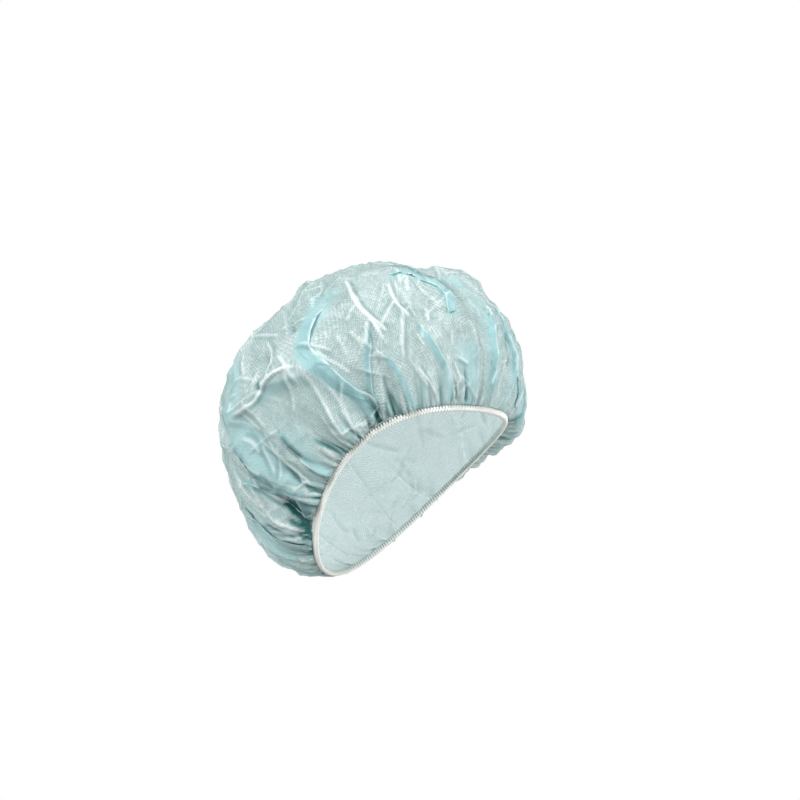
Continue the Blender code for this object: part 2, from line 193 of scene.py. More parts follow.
# Hollows: where cloth is tucked in and sunk, with shade painted into its colour. Depth, half width, darkness
# of the painted shade, path.
HOLLOWS = (
    (0.0028, 0.0040, 0.95, ((123, 0.17), (125, 0.12), (128, 0.08), (131.5, 0.045), (134, 0.02))),
    (0.0020, 0.0088, 1.00, ((131, 0.050), (134, 0.036), (138.5, 0.028))),
    (0.0022, 0.0026, 0.90, ((131, 0.11), (134, 0.06), (136, 0.02))),
    (0.0022, 0.0022, 0.80, ((119, 0.20), (121, 0.13), (124.5, 0.08), (129, 0.04))),
    (0.0018, 0.0020, 0.75, ((134, 0.19), (138, 0.11), (140.5, 0.05))),
    (0.0020, 0.0022, 0.85, ((143, 0.12), (144.5, 0.07), (145, 0.02))),
    (0.0028, 0.0026, 0.70, ((73.5, 0.005), (72, 0.03), (70.5, 0.055), (69.5, 0.085))),
    (0.0026, 0.0028, 0.55, ((62, 0.01), (62.5, 0.05), (63.5, 0.09))),
    (0.0020, 0.0020, 0.65, ((78, 0.005), (76.5, 0.03), (75.5, 0.06))),
    (0.0022, 0.0020, 0.60, ((67.5, 0.01), (67, 0.04), (65.5, 0.08))),
    (0.0022, 0.0030, 0.62, ((95.5, 0.12), (95, 0.07), (95.5, 0.015))),
    (0.0022, 0.0024, 0.50, ((101, 0.22), (102.5, 0.17), (104, 0.12))),
    (0.0022, 0.0022, 0.58, ((106, 0.10), (107.5, 0.05), (108.5, 0.015))),
    (0.0020, 0.0018, 0.60, ((109, 0.17), (111, 0.12), (113.5, 0.07), (115, 0.03))),
    (0.0026, 0.0018, 0.66, ((90.3, 0.49), (91.3, 0.45), (92.3, 0.42), (94.3, 0.40), (95.3, 0.37),
                            (95.6, 0.345))),
    (0.0020, 0.0018, 0.40, ((65.5, 0.57), (66, 0.54), (67, 0.51))),
    (0.0016, 0.0016, 0.55, ((78, 0.50), (79, 0.46), (79.5, 0.43))),
    (0.0020, 0.0016, 0.70, ((34, 0.09), (32.5, 0.06), (31, 0.02))),
    (0.0018, 0.0018, 0.55, ((-1, 0.27), (0.5, 0.20), (-1, 0.14))),
    (0.0020, 0.0020, 0.60, ((8, 0.02), (8.5, 0.05), (8, 0.09))),
    (0.0018, 0.0018, 0.50, ((28.5, 0.13), (27, 0.07), (25, 0.02))),
    (0.0020, 0.0018, 0.60, ((117, 0.36), (116, 0.31), (116.5, 0.26))),
    # shade only: a strip over the top, and the crumpled cloth behind it
    (0.0, 0.0090, 0.46, ((24, 0.35), (25, 0.40), (29, 0.44), (31.5, 0.49), (36, 0.53), (41, 0.57),
                         (46, 0.60))),
    (0.0, 0.0140, 0.20, ((78, 0.46), (74, 0.53), (70, 0.60))),
)
# Doubled cloth: broad soft bands that lie over themselves. Half width, strength, path.
DOUBLED = (
    (0.0080, 0.85, ((24, 0.0), (24.5, 0.06), (26, 0.13), (27.5, 0.21))),
    (0.0100, 0.45, ((8, 0.48), (13, 0.40), (14.5, 0.32), (13, 0.24), (11, 0.14), (8, 0.04))),
    (0.0085, 1.00, ((7, 0.40), (3, 0.33), (0, 0.26), (-4, 0.20), (-7, 0.13), (-8, 0.03))),
    (0.0130, 0.85, ((40, 0.52), (30, 0.50), (20, 0.47), (12, 0.44))),
    (0.0150, 0.60, ((-36, 0.02), (-32, 0.12), (-26, 0.22), (-16, 0.32))),
    (0.0100, 0.80, ((62, 0.53), (69, 0.47), (75, 0.41))),
    (0.0100, 0.80, ((102, 0.62), (104, 0.52), (107, 0.44), (110, 0.36))),
    (0.0060, 0.75, ((101, 0.35), (95, 0.325), (90, 0.30), (86, 0.28))),
    (0.0130, 0.95, ((113, 0.44), (111, 0.34), (110.5, 0.26), (112, 0.18), (114.5, 0.11), (117, 0.05))),
    (0.0100, 0.80, ((147, 0.36), (149, 0.25), (151, 0.15), (152, 0.05))),
    (0.0050, 0.70, ((98, 0.20), (99.5, 0.14), (102.5, 0.08), (105, 0.02))),
    (0.0045, 0.70, ((132, 0.28), (136, 0.18), (139.5, 0.09), (141, 0.02))),
    (0.0055, 0.55, ((86, 0.0), (85, 0.05), (84, 0.10))),
    (0.0045, 0.60, ((50, 0.0), (49, 0.05), (46.5, 0.10))),
    (0.0050, 0.60, ((38, 0.0), (38.5, 0.06), (40, 0.11))),
    (0.0060, 0.60, ((62, 0.0), (64, 0.04), (66, 0.07))),
)

# Stray creases all over, in a seeded scatter
STRAY_COUNT = 380
STRAY_SEED = 4

# Facets: a crumpled net of flat cells whose borders stand up
FACET_SEED = 11
FACET_COUNT = 300
SMALL_FACETS = 1300
FACET_STRETCH = 0.42             # shorter steps along the climb make long cells
FACET_HEIGHT = 0.0020
FACET_BORDER = 0.0050

# The hidden side: soft folds that don't lap, spread evenly with a seeded scatter
HIDDEN_LAPS = 17
HIDDEN_FROM, HIDDEN_STEP = -52, -9.2
HIDDEN_SEED = 7
HIDDEN_PULL = 0.28
HIDDEN_TONE = 0.30

# Gathers: pleats that merge away from the edge. Each has a count round the edge, a rise, the
# climb of its peak, how far it reaches above that, and the darkness of the shade painted in its valleys.
PLEATS = (
    (150, 0.0016, 0.010, 0.028, 0.75),
    (84, 0.0028, 0.022, 0.055, 1.0),
    (46, 0.0034, 0.045, 0.090, 1.0),
    (28, 0.0026, 0.090, 0.110, 0.5),
)

# Rows of the mesh: points in a row, from and to which climb, rows
ROW_BLOCKS = ((704, 0.0, 0.46, 84), (704, 0.46, 0.70, 28), (352, 0.70, 0.88, 24), (176, 0.88, 0.99, 14))
NEAR_SIDE = np.radians(75)       # the columns crowd towards this turn
CROWDING = 0.50
COLUMN_LEAN = np.radians(45)     # the columns lean with the folds, straight up at this turn:
COLUMN_UPRIGHT = np.radians(95)
LEAN_REACH = 0.40

FLAT_DIAMETER = 0.533            # the cloth is cut as a 21 inch disc
UV_PER_METRE = 1.8               # so that the flat cut fills its map

EDGE_TILT = np.arctan2(EDGE_CLIMB, EDGE_HALF_LENGTH)
AXIS = np.array((0.0, np.sin(EDGE_TILT), np.cos(EDGE_TILT)))
FORWARD = np.array((0.0, -np.cos(EDGE_TILT), np.sin(EDGE_TILT)))
RIGHT = np.array((-1.0, 0.0, 0.0))


def edge_line(turn):
    """Middle of the elastic."""
    x = -(EDGE_HALF_WIDTH * np.sin(turn) + EDGE_BOXINESS * np.sin(3 * turn))
    y = -EDGE_HALF_LENGTH * np.cos(turn)
    z = EDGE_CLIMB * np.cos(turn) + EDGE_SADDLE * np.cos(2 * turn)
    return np.stack((x, y, z), axis=-1)


def outward(turn):
    """Unit vector in the edge's plane, away from the centre."""
    point = edge_line(turn)
    flat = point - (point @ AXIS)[..., None] * AXIS
    return flat / np.linalg.norm(flat, axis=-1)[..., None]


def puffed_form(turn, climb):
    """The smooth crown, without folds."""
    start = edge_line(turn)
    level = start @ AXIS
    radius = np.linalg.norm(start - level[..., None] * AXIS, axis=-1)
    puff = (PUFF + PUFF_FRONT * np.cos(turn) + PUFF_ENDS * np.cos(2 * turn)
            + PUFF_RIGHT * np.sin(turn) + PUFF_TWIST * np.sin(2 * turn))
    widest = radius + puff
    first = -np.arccos(radius / widest)
    angle = first + (np.pi / 2 - first) * climb
    above = angle > 0
    reach = widest * np.where(above, np.abs(np.cos(angle)) ** ROUNDNESS, np.cos(angle))
    waist = level - PUFF_DEPTH * np.sin(first)
    height = waist + np.sin(angle) * np.where(above, POLE_HEIGHT - waist, PUFF_DEPTH)
    shift = POLE_SHIFT * np.clip(np.sin(angle), 0, 1) ** 2
    return reach[..., None] * outward(turn) + shift[..., None] * FORWARD + height[..., None] * AXIS


def swollen_form(turn, climb):
    """The smooth crown with its local swellings and slack."""
    place = puffed_form(turn, climb)
    away = np.cos(turn)[..., None] * FORWARD + np.sin(turn)[..., None] * RIGHT
    near_edge = np.clip(climb / 0.04, 0, 1)
    for middle, level, reach, rise, push, lift in (*SWELLINGS, *TRIMS):
        off = (np.degrees(turn) - middle + 180) % 360 - 180
        share = near_edge * np.exp(-(off / reach) ** 2 - ((climb - level) / rise) ** 2)
        place = place + share[..., None] * (push * away + lift * AXIS)
    return place


def smooth_path(path, per_span=4):
    """Points on the chart along a smooth curve through a path of (turn, climb)."""
    knots = np.array([(np.radians(turn) * CHART_RADIUS, climb * CHART_RISE) for turn, climb in path])
    if len(knots) < 3:
        return knots
    ends = np.concatenate((2 * knots[:1] - knots[1:2], knots, 2 * knots[-1:] - knots[-2:-1]))
    out = []
    for before, first, second, after in zip(ends[:-3], ends[1:-2], ends[2:-1], ends[3:]):
        for share in np.arange(per_span) / per_span:
            bend = (-before + 3 * first - 3 * second + after) * share ** 3
            sweep = (2 * before - 5 * first + 4 * second - after) * share ** 2
            out.append(first + 0.5 * (bend + sweep + (second - before) * share))
    return np.array(out + [knots[-1]])


def rising(path):
    """The path from its lower end, where the gathers hold it."""
    return path if path[0][1] <= path[-1][1] else path[::-1]


def near_path(spots, nodes):
    """Nearest point of a path to each spot on the chart, how far along it is, and its side."""
    lengths = np.linalg.norm(np.diff(nodes, axis=0), axis=1)
    begun = np.concatenate(((0.0,), np.cumsum(lengths)))
    best = np.full(len(spots), np.inf)
    along = np.zeros(len(spots))
    foot = np.zeros_like(spots)
    side = np.ones(len(spots))
    for index, length in enumerate(lengths):
        step = (nodes[index + 1] - nodes[index]) / length
        offset = spots - nodes[index]
        run = np.clip(offset @ step, 0, length)
        near = nodes[index] + run[:, None] * step
        gap = np.linalg.norm(spots - near, axis=1)
        closer = gap < best
        best = np.where(closer, gap, best)
        along = np.where(closer, (begun[index] + run) / begun[-1], along)
        foot = np.where(closer[:, None], near, foot)
        turned = offset[:, 0] * step[1] - offset[:, 1] * step[0]
        side = np.where(closer, np.where(turned < 0, -1.0, 1.0), side)
    return best, along, foot, side


def reached(spots, nodes, reach):
    """Numbers of the spots inside a path's box grown by reach, trying whole turns as well."""
    for whole_turn in (-2, -1, 0, 1, 2):
        shift = np.array((whole_turn * 2 * np.pi * CHART_RADIUS, 0.0))
        low, high = nodes.min(0) - reach + shift, nodes.max(0) + reach + shift
        inside = np.flatnonzero(((spots > low) & (spots < high)).all(axis=1))
        if len(inside):
            yield inside, nodes + shift


def hidden_laps():
    """Plain folds for the hidden side."""
    scatter = np.random.default_rng(HIDDEN_SEED)
    for index in range(HIDDEN_LAPS):
        turn = HIDDEN_FROM + HIDDEN_STEP * index + scatter.uniform(-3, 3)
        top = scatter.uniform(0.36, 0.62)
        lean, bow = scatter.uniform(-9, 9), scatter.uniform(-3, 3)
        path = ((turn, 0.0), (turn + 0.4 * lean + bow, top * 0.5), (turn + lean, top))
        yield scatter.uniform(0.0026, 0.0042), 0.0018, 1 if index % 2 else -1, path


def add_laps(spots):
    """Fold the cloth back over itself along each lap: moved spots, lift, bands, and a painted highlight along
    the rims where the top layer turns under.
    """
    moved = spots.copy()
    lift = np.zeros(len(spots))
    layered = np.zeros(len(spots))
    rim_highlight = np.zeros(len(spots))
    jobs = [(1.0, LAP_PULL, lap) for lap in LAPS]
    jobs += [(HIDDEN_TONE, HIDDEN_PULL, fold) for fold in hidden_laps()]
    for tone, pull, (width, rise, on_top, path) in jobs:
        reach = width * 2.7
        for inside, nodes in reached(moved, smooth_path(path), reach):
            here = moved[inside]
            gap, along, foot, side = near_path(here, nodes)
            share = np.clip(gap / reach, 0, 1)
            signed = share * side * on_top
            fade = np.clip(np.minimum(along / 0.04 + 0.6, (1 - along) / 0.22), 0, 1) ** 0.5
            fade = fade * np.clip(here[:, 1] / (LAP_ROOT * CHART_RISE), 0, 1)
            window = (1 - share ** 2) ** 1.5
            folded = share - pull * fade * np.sin(np.pi * share) * window
            away = (here - foot) / np.maximum(gap, 1e-9)[:, None]
            moved[inside] = np.where((gap < reach)[:, None], foot + away * (folded * reach)[:, None], here)
            step = 0.5 + 0.5 * np.sin(np.pi / 2 * np.clip(signed / 0.36, -1, 1))
            lift[inside] += np.where(gap < reach, rise * fade * step * (1 - share) ** 0.7, 0)
            band = np.exp(-(folded / LAP_SHARE) ** 4)
            layered[inside] = np.maximum(layered[inside], np.where(gap < reach, tone * fade * band, 0))
            # painted highlight: a pale line along the rim where a lap's top layer turns under
            turned = fade * np.exp(-((signed - LAP_TURN) / 0.13) ** 2)
            rim_highlight[inside] = np.maximum(rim_highlight[inside], np.where(gap < reach, turned, 0))
    return moved, lift, layered, rim_highlight


def ridge_heights(spots):
    """Lift of the CAD's broad folds."""
    lift = np.zeros(len(spots))
    for rise, width, path in BROAD_FOLDS:
        nodes = np.array([(np.radians(turn) * CHART_RADIUS, climb * CHART_RISE) for turn, climb in path])
        for inside, line in reached(spots, nodes, 3 * width):
            gap, along, _, _ = near_path(spots[inside], line)
            lift[inside] += rise * np.exp(-(gap / width) ** 2) * (0.35 + 0.65 * np.sin(np.pi * along))
    rise, width = BACK_RIDGE
    for index, start in enumerate(BACK_RIDGE_TURNS):
        lean = BACK_RIDGE_LEAN * (-1) ** index
        top = 0.36 + 0.08 * (index % 3)
        path = ((start, 0.03), (start + lean, top))
        nodes = np.array([(np.radians(turn) * CHART_RADIUS, climb * CHART_RISE) for turn, climb in path])
        for inside, line in reached(spots, nodes, 3 * width):
            gap, along, _, _ = near_path(spots[inside], line)
            rooted = np.clip(spots[inside][:, 1] / (0.16 * CHART_RISE), 0.25, 1)
            lift[inside] += rise * rooted * np.exp(-(gap / width) ** 2) * (1 - 0.7 * along)
    return lift


def crumple_height(place, climb, waves):
    """Creases that cross each other, fading out at the edge."""
    lift = np.zeros(len(climb))
    for across, spacing, rise, offset in waves:
        along = np.roll(across, 1)
        wave = np.pi * (place @ np.array(across)) / spacing + offset
        wave = wave + CRUMPLE_BEND * np.sin(np.pi * (place @ along) / spacing)
        lift += rise * (0.6 - np.abs(np.sin(wave)))
    return lift * np.clip((climb - 0.08) / 0.25, 0, 1)


def crease_heights(spots):
    """Lift, painted highlight line and painted shade on one flank of the charted creases and of the stray
    ones.
    """
    lift, line, shade = np.zeros((3, len(spots)))
    jobs = [(rise, strength, smooth_path(path)) for rise, strength, path in CREASES]
    scatter = np.random.default_rng(STRAY_SEED)
    for _ in range(STRAY_COUNT):
        start = scatter.uniform((-180, 0.04), (180, 0.78))
        lean, length = scatter.normal(0, 0.55), scatter.uniform(0.012, 0.05)
        rise, bow = scatter.uniform(0.0004, 0.0014), scatter.normal(0, 0.15)
        squeeze = np.cos(np.pi / 2 * start[1]) ** 0.5
        middle = np.array((np.radians(start[0]) * CHART_RADIUS, start[1] * CHART_RISE))
        heading = np.array((np.sin(lean) / squeeze, np.cos(lean)))
        aside = np.array((heading[1], -heading[0]))
        shares = np.linspace(-0.5, 0.5, 5)
        nodes = middle + length * (shares[:, None] * heading + bow * (shares ** 2)[:, None] * aside)
        jobs.append((rise, 0.42 + 0.33 * rise / 0.0014, nodes))
    for rise, strength, nodes in jobs:
        for inside, path in reached(spots, nodes, 4 * CREASE_WIDTH):
            gap, along, _, side = near_path(spots[inside], path)
            taper = np.clip(np.minimum(along, 1 - along) / 0.18, 0, 1)
            lift[inside] += rise * taper * np.exp(-gap / CREASE_WIDTH)
            # painted highlight: the pale line along each crease; painted shade on one flank below
            line[inside] = np.maximum(line[inside], strength * taper * np.exp(-(gap / LINE_WIDTH) ** 2))
            flank = np.where(side > 0, np.exp(-((gap - 1.7 * LINE_WIDTH) / LINE_WIDTH) ** 2), 0)
            shade[inside] = np.maximum(shade[inside], CREASE_SHADE * strength * taper * flank)
    return lift, line, shade


def doubled_share(spots):
    """How far the cloth is doubled by the broad bands."""
    share = np.zeros(len(spots))
    for width, strength, path in DOUBLED:
        for inside, nodes in reached(spots, smooth_path(rising(path)), 1.6 * width):
            gap, along, _, _ = near_path(spots[inside], nodes)
            taper = np.clip(np.minimum(along / 0.12 + 0.6, (1 - along) / 0.25), 0, 1)
            share[inside] = np.maximum(share[inside], strength * taper * np.exp(-(gap / width) ** 4))
    return share


def hollow_depths(spots):
    """Depth and painted shade of the tucked-in places."""
    lift = np.zeros(len(spots))
    painted_shade = np.zeros(len(spots))
    for depth, width, darkness, path in HOLLOWS:
        for inside, nodes in reached(spots, smooth_path(rising(path)), 3 * width):
            gap, along, _, _ = near_path(spots[inside], nodes)
            taper = np.clip(np.minimum(along / 0.1 + 0.8, (1 - along) / 0.35), 0, 1)
            shape = taper * np.exp(-(gap / width) ** 2)
            lift[inside] -= depth * shape
            painted_shade[inside] = np.maximum(painted_shade[inside], darkness * shape)
    return lift, painted_shade


def facets(spots, count, seed):
    """A net of crumples: distance to the border between two flat cells, and each cell's tone, a random
    paleness painted to stand for the light and shade that each facet catches.
    """
    scatter = np.random.default_rng(seed)
    width, height = 2 * np.pi * CHART_RADIUS, CHART_RISE * FACET_STRETCH
    seeds = scatter.uniform((0, 0), (width, height), (count, 2))
    # painted light and shade: each cell gets a random paleness, standing in for how each crumpled facet
    # catches the light
    painted_cell_lights = np.tile(scatter.uniform(0, 1, count), 3)
    copies = np.concatenate((seeds - (width, 0), seeds, seeds + (width, 0)))
    tree = kdtree.KDTree(len(copies))
    for index, place in enumerate(copies):
        tree.insert((place[0], place[1], 0), index)
    tree.balance()
    border, tone = np.empty((2, len(spots)))
    for index, spot in enumerate(spots):
        found = tree.find_n((spot[0] % width, spot[1] * FACET_STRETCH, 0), 2)
        border[index] = found[1][2] - found[0][2]
        tone[index] = painted_cell_lights[found[0][1]]
    return border, tone


def gathers(turn, climb):
    """Pleats at the edge that merge as they climb: lift, shade painted into the valleys and highlights
    painted on the crests.
    """
    lift, valley_shade, crest_highlight = np.zeros((3, len(turn)))
    # the far end of the forehead lies flatter than the side and the nape, so the shade painted in its pleat
    # valleys is weaker there
    pulled = 0.35 + 0.65 * np.clip((np.degrees(turn) % 360 - 38) / 22, 0, 1) * (np.degrees(turn) % 360 < 330)
    for count, rise, peak, reach, darkness in PLEATS:
        drift = 0.9 * np.sin(3 * turn + count) + 0.7 * np.sin(7 * turn + 2 * count) + 0.5 * np.sin(13 * turn)
        lean = 5 * climb * np.sin(5 * turn + count)
        wave = np.abs(np.sin(count * turn / 2 + drift + lean))
        uneven = 0.5 + 0.5 * np.sin(9 * turn + count) * np.sin(23 * turn + 2 * count)
        grow = np.clip(climb / peak, 0, 1)
        fade = np.exp(-np.clip(climb - peak, 0, 1) / (reach * (0.5 + uneven)))
        lift += rise * (0.55 + 0.45 * uneven) * grow * fade * (wave - 0.6)
        sunk = np.exp(-climb / (reach * (0.5 + 1.1 * uneven)))
        strength = darkness * pulled * (0.35 + 0.75 * uneven) * sunk
        # painted shade: the valleys between the pleats turn dark
        valley_shade = np.maximum(valley_shade, strength * np.exp(-(wave / 0.42) ** 2))
        # painted highlight: pale lines on the pleat crests
        tip = np.clip((wave - 0.84) / 0.16, 0, 1)
        crest_highlight = np.maximum(crest_highlight, 0.75 * (0.2 + 0.8 * uneven) * fade * grow * tip)
    return lift, valley_shade, crest_highlight


def crown_points(turn, climb):
    """Places of the cloth, with its painted highlight lines, lapped bands, painted shade in hollows and
    valleys, and painted facet light, each 0 to 1.
    """
    spots = np.stack((turn * CHART_RADIUS, climb * CHART_RISE), axis=-1)
    moved, lap_lift, layered, rim_highlight = add_laps(spots)
    at_turn, at_climb = moved[:, 0] / CHART_RADIUS, np.clip(moved[:, 1] / CHART_RISE, 0, 1)
    step = 1e-3
    place = swollen_form(at_turn, at_climb)
    round_way = swollen_form(at_turn + step, at_climb) - place
    up_way = swollen_form(at_turn, at_climb + step) - place
    normal = np.cross(up_way, round_way)
    normal /= np.linalg.norm(normal, axis=1)[:, None]
    crease_lift, line, shade = crease_heights(moved)
    border, tone = facets(spots, FACET_COUNT, FACET_SEED)
    _, small_facet_light = facets(moved, SMALL_FACETS, FACET_SEED + 1)
    calm = np.clip(climb / 0.12, 0, 1) * np.clip((1 - climb) / 0.2, 0, 1)
    ridge = np.exp(-border / FACET_BORDER)
    lift = ridge_heights(moved) + crumple_height(place, at_climb, CRUMPLES) + crease_lift + lap_lift
    lift += crumple_height(place, at_climb, FINE_CRUMPLES) * (1 - 0.8 * layered)
    pleats, valley_shade, crest_highlight = gathers(at_turn, at_climb)
    sunk, painted_shade = hollow_depths(moved)
    lift += FACET_HEIGHT * calm * (ridge - 0.45) + pleats + sunk
    # painted shade: hollows, pleat valleys and crease flanks, darkened in colour
    painted_shade = np.maximum(np.maximum(painted_shade, valley_shade), shade)
    # painted highlight: pale lines on the pleat crests
    line = np.maximum(line, crest_highlight)
    # painted highlight: pale lines along the raised facet borders
    line = np.maximum(line, 0.16 * calm * np.exp(-(border / 0.0012) ** 2))
    # painted highlight: pale lines along the lap rims
    line = np.maximum(line, 0.95 * rim_highlight)
    clear = (ELASTIC_THICKNESS / 2 + GAP + CLOTH) * np.clip(1 - climb / 0.12, 0, 1)
    place = place + clear[:, None] * outward(at_turn) + lift[:, None] * normal
    layered = np.maximum(layered, 0.25 + 0.42 * doubled_share(moved))
    # the pale lines are painted highlight, the darkness is painted shade, and the tone is painted light and
    # shade per facet
    return place, {"crease_highlight": line, "layered": layered, "painted_shade": painted_shade, "tone": 0.6 * tone + 0.4 * small_facet_light}


def bridge(low, high, faces):
    """Faces between two rows of point numbers, where the upper has as many or half as many."""
    count = len(low)
    if len(high) == count:
        faces.extend((low[i], high[i], high[(i + 1) % count], low[(i + 1) % count]) for i in range(count))
        return
    for i in range(len(high)):
        a, b, c = low[2 * i], low[2 * i + 1], low[(2 * i + 2) % count]
        d, e = high[i], high[(i + 1) % len(high)]
        faces.extend(((a, d, b), (b, d, e), (b, e, c)))


def make_mesh(name, points, faces):
    mesh = bpy.data.meshes.new(name)
    mesh.from_pydata([tuple(p) for p in points], [], faces)
    mesh.shade_smooth()
    obj = bpy.data.objects.new(name, mesh)
    bpy.context.scene.collection.objects.link(obj)
    return obj


def make_crown():
    """The cloth as one open sheet, its columns crowded towards the side with most folds."""
    turns, climbs, counts = [], [], []
    for count, low, high, rows in ROW_BLOCKS:
        steps = np.linspace(0, 2 * np.pi, count, endpoint=False)
        crowded = steps - CROWDING * np.sin(steps - NEAR_SIDE)
        for climb in np.linspace(low, high, rows, endpoint=high > 0.95):
            lean = COLUMN_LEAN * LEAN_REACH * (1 - np.exp(-climb / LEAN_REACH))
            turns.append(crowded - lean * np.sin(crowded - COLUMN_UPRIGHT))
            climbs.append(np.full(count, climb))
            counts.append(count)
    turns.append(np.zeros(1))
    climbs.append(np.full(1, 0.9995))
    turn, climb = np.concatenate(turns), np.concatenate(climbs)
    turn = (turn + np.pi) % (2 * np.pi) - np.pi
    points, amounts = crown_points(turn, np.maximum(climb, 1e-4))
    amounts["climb"] = climb
    strip = turns[0]
    beside = edge_line(strip) + (ELASTIC_THICKNESS / 2 + GAP + CLOTH) * outward(strip)
    under = beside - 0.0004 * AXIS
    above = beside + ELASTIC_HEIGHT / 2 * AXIS
    points[:counts[0]] = above
    points = np.concatenate((under, beside, points))
    numbers = []
    start = 0
    for count in [counts[0], counts[0]] + counts:
        numbers.append(list(range(start, start + count)))
        start += count
    faces = []
    for low, high in zip(numbers[:-1], numbers[1:]):
        bridge(low, high, faces)
    last = numbers[-1]
    faces.extend((corner, start, last[(i + 1) % len(last)]) for i, corner in enumerate(last))
    crown = make_mesh("crown_cloth", points, faces)
    add_spot_data(crown, turn, amounts, counts[0])
    return crown


def add_spot_data(crown, turn, amounts, strip_count):
    """Flat cut of the cloth as a UV map, and the amounts that its material reads."""
    mesh = crown.data

    def with_strip(values):
        return np.concatenate((values[:strip_count], values[:strip_count], values))

    turn = with_strip(turn)
    amounts = {name: with_strip(values) for name, values in amounts.items()}
    radius = (1 - amounts["climb"]) * FLAT_DIAMETER / 2
    flat = np.stack((radius * np.cos(turn), radius * np.sin(turn)), axis=-1)
    corners = np.empty(len(mesh.loops), dtype=np.int32)
    mesh.loops.foreach_get("vertex_index", corners)
    uv = mesh.uv_layers.new(name="flat_cut")
    uv.data.foreach_set("uv", (flat[corners] * UV_PER_METRE + 0.5).astype(np.float32).ravel())
    for name, values in amounts.items():
        mesh.attributes.new(name, "FLOAT", "POINT").data.foreach_set("value", values.astype(np.float32))


# --- edge -----------------------------------------------------------------------------
BAND_STEPS = 900
BAND_SIDES = 10
RIBS = 420
STITCH_PITCH = 0.0024
THREAD = 0.00046


def tube_faces(rows, sides, start=0):
    """Faces of a tube that closes on itself, from rows of points round it."""
    faces = []
    for row in range(rows):
        for side in range(sides):
            a = start + row * sides + side
            b = start + row * sides + (side + 1) % sides
            c = start + (row + 1) % rows * sides + (side + 1) % sides
            d = start + (row + 1) % rows * sides + side
            faces.append((a, d, c, b))
    return faces


def make_elastic():
    """Covered elastic: a flat ribbed strip swept round the edge, slightly waved by the gathers."""
    turn = np.linspace(0, 2 * np.pi, BAND_STEPS, endpoint=False)
    middle = edge_line(turn) + (0.00025 * np.sin(56 * turn))[:, None] * AXIS
    angles = 2 * np.pi * (np.arange(BAND_SIDES) + 0.5) / BAND_SIDES
    rib = 0.00006 * np.sin(RIBS * turn)
    points = []
    for angle in angles:
        across = np.sign(np.cos(angle)) * abs(np.cos(angle)) ** 0.5 * (ELASTIC_THICKNESS / 2 - 0.0001)
        across = across + rib * np.cos(angle)
        along = np.sin(angle) * (ELASTIC_HEIGHT / 2 - 0.0001)
        points.append(middle + across[:, None] * outward(turn) + along * AXIS)
    points = np.stack(points, axis=1).reshape(-1, 3)
    return make_mesh("elastic_edge", points, tube_faces(BAND_STEPS, BAND_SIDES))


def make_stitches():
    """Overlock thread: a zigzag over the face and round the lower rim, and a needle row."""
    fine = np.linspace(0, 2 * np.pi, 4001)
    loop = edge_line(fine)
    lengths = np.concatenate(((0.0,), np.cumsum(np.linalg.norm(np.diff(loop, axis=0), axis=1))))
    count = int(round(lengths[-1] / STITCH_PITCH))
    out_face = ELASTIC_THICKNESS / 2 + GAP + CLOTH + THREAD
    low_face = ELASTIC_THICKNESS / 2 + THREAD
    # one stitch: share of the pitch, distance out, distance up
    course = (
        (0.00, out_face, 0.0020), (0.14, out_face + 0.0001, 0.0010), (0.28, out_face - 0.0001, 0.0000),
        (0.36, low_face + 0.0003, -0.0010), (0.42, low_face, -0.0020), (0.46, 0.0003, -0.0026),
        (0.50, -low_face, -0.0020), (0.56, -low_face, 0.0000), (0.62, -low_face, 0.0018),
        (0.70, -low_face, 0.0000), (0.76, -low_face, -0.0020), (0.80, 0.0003, -0.0026),
        (0.84, low_face, -0.0020), (0.88, low_face + 0.0003, -0.0010), (0.94, out_face, 0.0004),
    )
    rows = []
    for index in range(count):
        for share, out, up in course:
            rows.append((index + share, out, up))
    zigzag = np.array(rows)
    needle = []
    for index in range(count):
        for share, out, up in ((0.0, out_face - 0.0002, 0.0023), (0.2, out_face + 0.0002, 0.0024),
                               (0.5, out_face + 0.0003, 0.0024), (0.8, out_face + 0.0002, 0.0023)):
            needle.append((index + share, out, up))
    threads = []
    for course_rows in (zigzag, np.array(needle)):
        turn = np.interp(course_rows[:, 0] / count * lengths[-1], lengths, fine)
        threads.append(edge_line(turn) + course_rows[:, 1:2] * outward(turn) + course_rows[:, 2:3] * AXIS)
    points, faces = [], []
    for path in threads:
        ahead = np.roll(path, -1, axis=0) - np.roll(path, 1, axis=0)
        ahead /= np.linalg.norm(ahead, axis=1)[:, None]
        side = np.cross(ahead, AXIS + 0.35 * RIGHT)
        side /= np.linalg.norm(side, axis=1)[:, None]
        third = np.cross(ahead, side)
        ring = [path + THREAD * (np.cos(a) * side + np.sin(a) * third) for a in np.arange(5) * 2 * np.pi / 5]
        faces.extend(tube_faces(len(path), 5, start=sum(len(p) for p in points)))
        points.append(np.stack(ring, axis=1).reshape(-1, 3))
    return make_mesh("overlock_stitches", np.concatenate(points), faces)


# --- materials ------------------------------------------------------------------------
EMBOSS_SPACING = 0.0026


